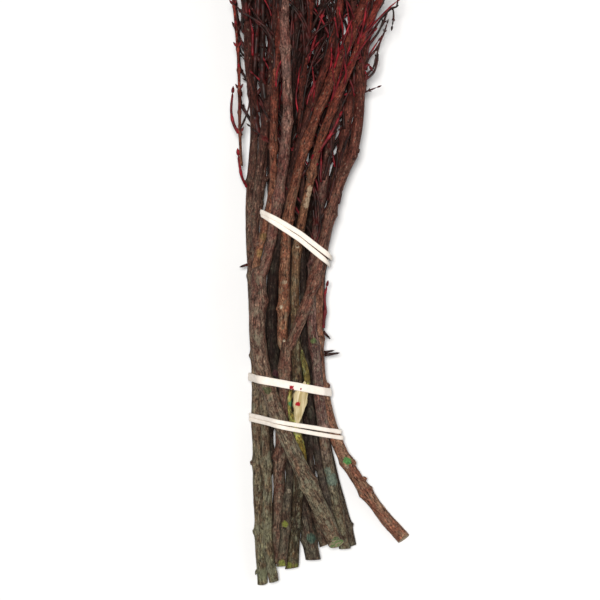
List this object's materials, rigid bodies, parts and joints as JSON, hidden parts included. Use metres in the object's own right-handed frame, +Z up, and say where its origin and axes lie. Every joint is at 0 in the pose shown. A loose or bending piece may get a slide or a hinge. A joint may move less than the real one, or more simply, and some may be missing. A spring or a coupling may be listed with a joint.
{
  "type": "bundle of twigs",
  "caption": "Bundle of cut branches lying on its side, tied near the cut ends with pale rubber bands, brown bark turning to red forked tips.",
  "frame": {"origin": "middle of the bundle's footprint, on the surface that it lies on", "axes": "+Y along the branches from the cut ends to the tips, +Z up, +X to the right when seen from above with the tips away"},
  "size_m": [0.2018, 0.5582, 0.094],
  "materials": {
    "bark": "matte",
    "red_twig": "satin",
    "band_rubber": "satin"
  },
  "bodies": {
    "root": {"back_left_crown_1": "red_twig", "back_left_crown_2": "red_twig", "back_middle_crown_1": "red_twig", "back_middle_crown_2": "red_twig", "back_right_crown_1": "red_twig", "back_right_crown_2": "red_twig", "back_stem_fourth": "bark", "back_stem_left": "bark", "back_stem_middle": "bark", "back_stem_right": "bark", "back_stem_second": "bark", "crossing_dark_stem": "bark", "dark_crown_1": "red_twig", "dark_crown_2": "red_twig", "dark_stem": "bark", "forked_middle_stem": "bark", "hidden_right_crown_1": "red_twig", "hidden_right_crown_2": "red_twig", "hidden_right_stem": "bark", "left_inner_crown_1": "red_twig", "left_inner_crown_2": "red_twig", "left_inner_stem": "bark", "left_outer_crown_1": "red_twig", "left_outer_crown_2": "red_twig", "left_outer_stem": "bark", "left_red_twig": "red_twig", "lichen_crown_1": "red_twig", "lichen_crown_2": "red_twig", "lichen_stem": "bark", "lower_rubber_band": "band_rubber", "middle_orange_arm_crown_1": "red_twig", "middle_orange_arm_crown_2": "red_twig", "middle_right_arm_crown_1": "red_twig", "middle_right_arm_crown_2": "red_twig", "middle_rubber_band": "band_rubber", "middle_stem_orange_arm": "bark", "middle_stem_right_arm": "bark", "olive_crown_1": "red_twig", "olive_crown_2": "red_twig", "olive_stem": "bark", "slim_dark_crown_1": "red_twig", "slim_dark_crown_2": "red_twig", "slim_dark_stem": "bark", "splayed_crown_1": "red_twig", "splayed_crown_2": "red_twig", "splayed_stem": "bark", "thick_front_stem": "bark", "thick_left_arm_crown_1": "red_twig", "thick_left_arm_crown_2": "red_twig", "thick_right_arm_crown_1": "red_twig", "thick_right_arm_crown_2": "red_twig", "thick_stem_left_arm": "bark", "thick_stem_right_arm": "bark", "top_rubber_band": "band_rubber", "torn_yellow_twig": "bark", "yellow_rimmed_crown_1": "red_twig", "yellow_rimmed_crown_2": "red_twig", "yellow_rimmed_stem": "bark"}
  },
  "joints": []
}
